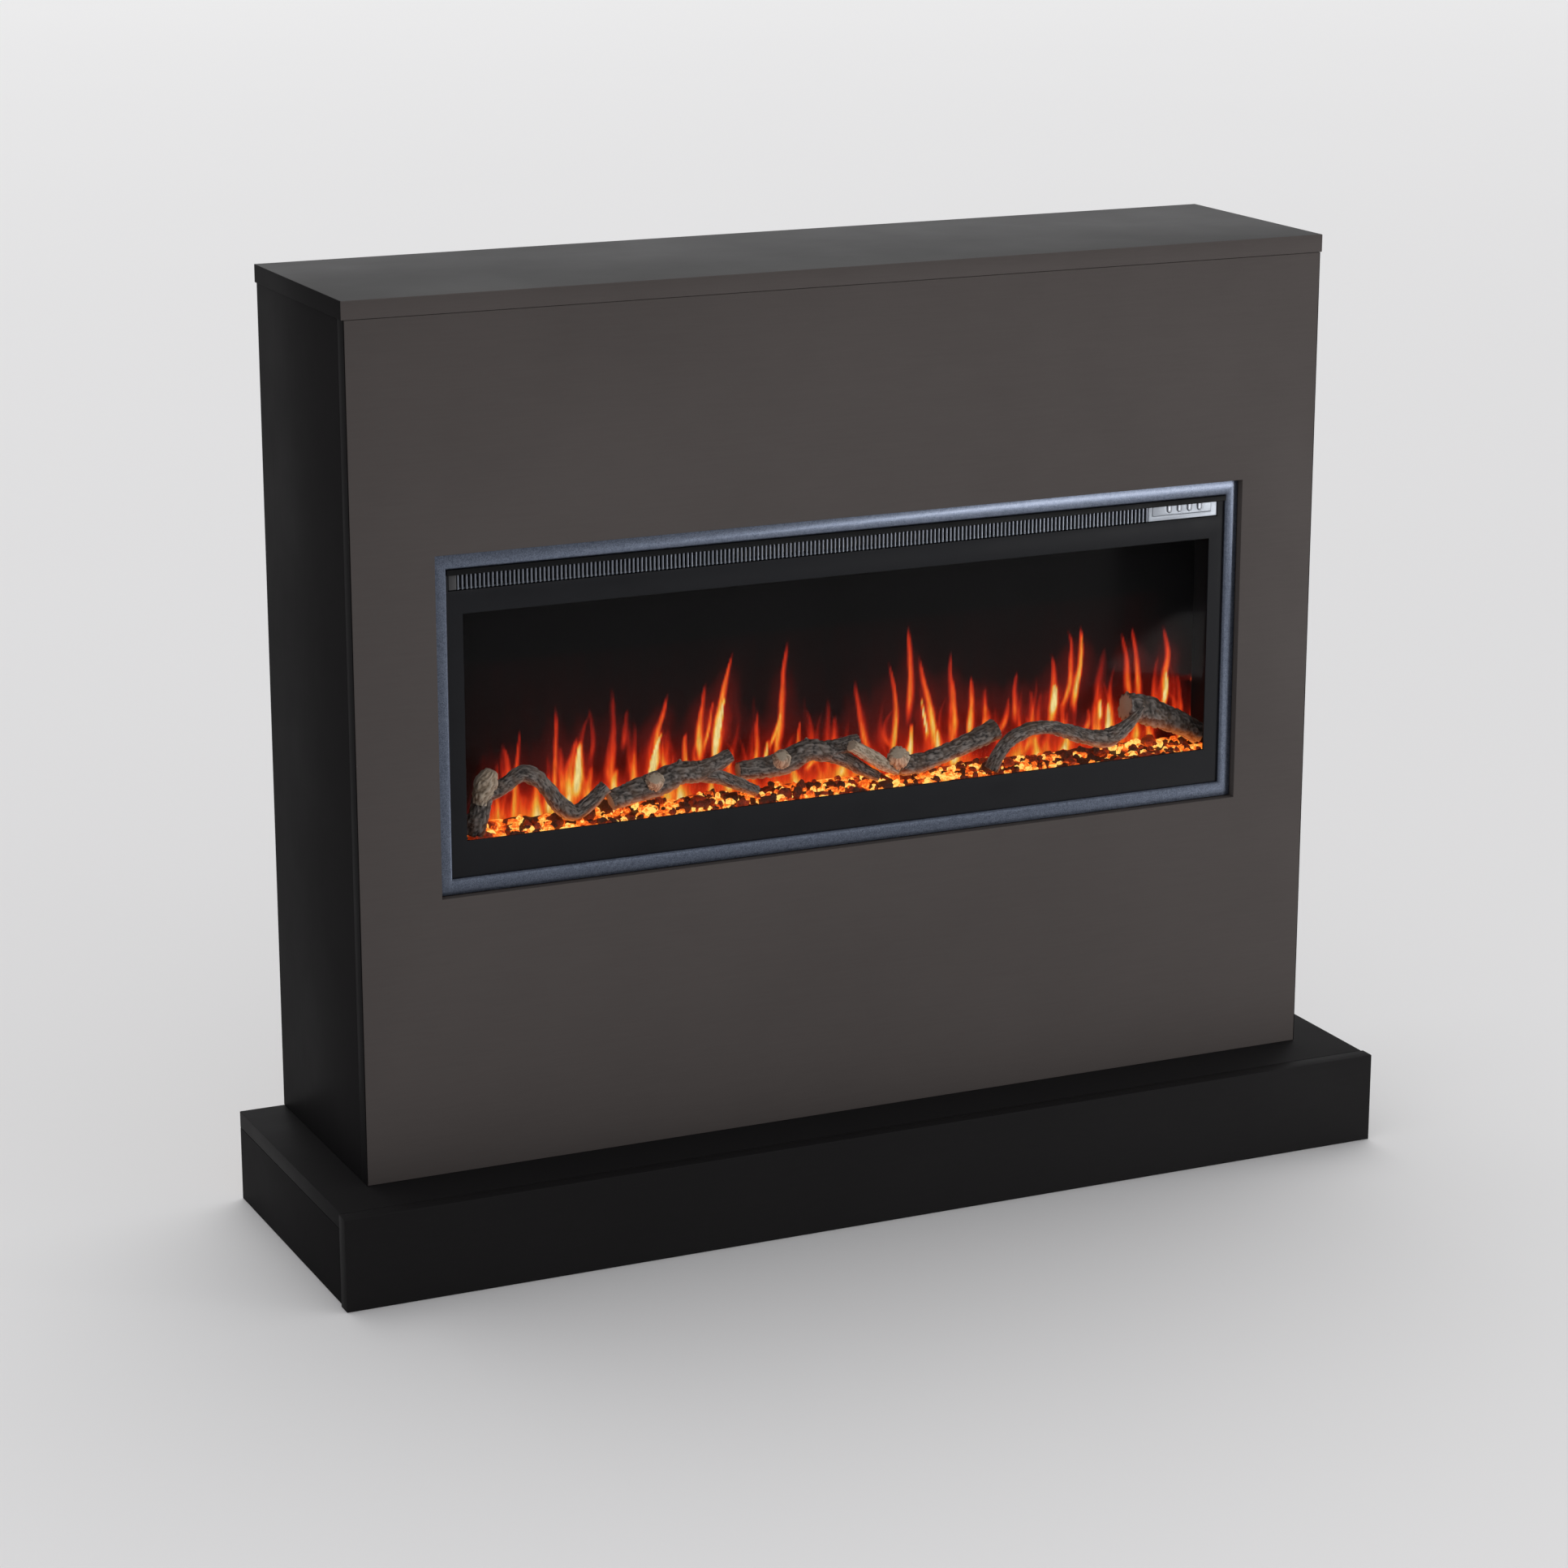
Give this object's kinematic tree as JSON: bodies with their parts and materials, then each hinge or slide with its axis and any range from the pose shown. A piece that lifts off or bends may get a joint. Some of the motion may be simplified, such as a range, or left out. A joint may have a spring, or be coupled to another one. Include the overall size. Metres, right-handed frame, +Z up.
{
  "type": "electric fireplace",
  "caption": "Free-standing electric fireplace: board mantel on a wide plinth with a recessed heater insert, logs, flame screen, outlet grille and push buttons.",
  "frame": {"origin": "on the floor, in the middle of the footprint", "axes": "+Z up, +X to the right as seen from the front, the front faces -Y"},
  "size_m": [1.2, 0.35, 1.004],
  "materials": {
    "graphite_laminate": "matt graphite melamine laminate with a fine grain",
    "taupe_laminate": "matt dark taupe melamine laminate",
    "raw_board": "uncoated particle board",
    "zinc_steel": "zinc plated sheet",
    "black_steel": "satin black powder coat",
    "silver_flake": "blue grey metallic flake paint",
    "black_bezel": "smooth satin black enamel",
    "dark_glass": "lightly tinted toughened glass",
    "silver_plastic": "satin silver paint on plastic",
    "button_plastic": "satin silver keycap",
    "black_plastic": "fine moulded texture",
    "circuit_board": "green lacquer",
    "heat_core": "oxidised resistance ribbon",
    "mica": "pressed mica sheet",
    "flame_panel": "smoked diffusing screen that shows the flames",
    "ember_resin": "translucent resin lit from below",
    "bark": "painted cast resin log"
  },
  "bodies": {
    "fireplace": {"plinth_front_board": "graphite_laminate", "plinth_top_board": "graphite_laminate", "plinth_left_board": "graphite_laminate", "plinth_right_board": "graphite_laminate", "plinth_rear_rail": "raw_board", "plinth_middle_web": "raw_board", "top_board": "graphite_laminate", "top_edge_band": "taupe_laminate", "front_panel": "taupe_laminate", "left_side_panel": "graphite_laminate", "right_side_panel": "graphite_laminate", "rear_top_rail": "raw_board", "rear_bottom_rail": "raw_board", "insert_shelf": "raw_board", "left_shelf_cleat": "raw_board", "right_shelf_cleat": "raw_board", "brace_low_left": "zinc_steel", "brace_low_right": "zinc_steel", "brace_high_left": "zinc_steel", "brace_high_right": "zinc_steel", "trim_frame": "silver_flake", "bezel": "black_bezel", "outlet_hood": "black_bezel", "window_glass": "dark_glass", "outlet_grille": "silver_plastic", "grille_end_block": "black_plastic", "control_panel": "silver_plastic", "control_board": "circuit_board", "firebox_casing": "black_steel", "rear_service_cover": "black_steel", "heat_baffle": "black_steel", "left_fixing_bracket": "zinc_steel", "right_fixing_bracket": "zinc_steel", "mains_inlet": "black_plastic", "blower_housing": "zinc_steel", "blower_left_end": "zinc_steel", "blower_right_end": "zinc_steel", "blower_motor": "zinc_steel", "heater_frame": "mica", "heating_element": "heat_core", "thermal_cutout": "zinc_steel", "wiring_loom": "black_plastic", "flame_screen": "flame_panel", "rotor_motor": "zinc_steel", "rotor_bush": "black_plastic", "flame_lamp_board": "circuit_board", "ember_lamp_board": "circuit_board", "ember_tray": "ember_resin", "log_1": "bark", "log_2": "bark", "log_3": "bark", "log_4": "bark", "log_5": "bark", "log_6": "bark"},
    "power_key": {"button_power": "button_plastic"},
    "flame_key": {"button_flame": "button_plastic"},
    "heat_key": {"button_heat": "button_plastic"},
    "timer_key": {"button_timer": "button_plastic"},
    "blower_wheel": {"blower_wheel": "black_plastic"},
    "flame_rotor": {"flame_rotor": "silver_plastic"}
  },
  "joints": [
    {"name": "power_press", "type": "slide", "parent": "fireplace", "child": "power_key", "axis": [0, 1, 0], "range_m": [0, 0.0015], "stiffness_N_per_m": 300, "springref_m": -0.001},
    {"name": "flame_press", "type": "slide", "parent": "fireplace", "child": "flame_key", "axis": [0, 1, 0], "range_m": [0, 0.0015], "stiffness_N_per_m": 300, "springref_m": -0.001},
    {"name": "heat_press", "type": "slide", "parent": "fireplace", "child": "heat_key", "axis": [0, 1, 0], "range_m": [0, 0.0015], "stiffness_N_per_m": 300, "springref_m": -0.001},
    {"name": "timer_press", "type": "slide", "parent": "fireplace", "child": "timer_key", "axis": [0, 1, 0], "range_m": [0, 0.0015], "stiffness_N_per_m": 300, "springref_m": -0.001},
    {"name": "blower_spin", "type": "hinge", "parent": "fireplace", "child": "blower_wheel", "pos_m": [0, 0.015, 0.72075], "axis": [1, 0, 0], "continuous": true},
    {"name": "flame_spin", "type": "hinge", "parent": "fireplace", "child": "flame_rotor", "pos_m": [0, 0.025, 0.44], "axis": [1, 0, 0], "continuous": true}
  ]
}
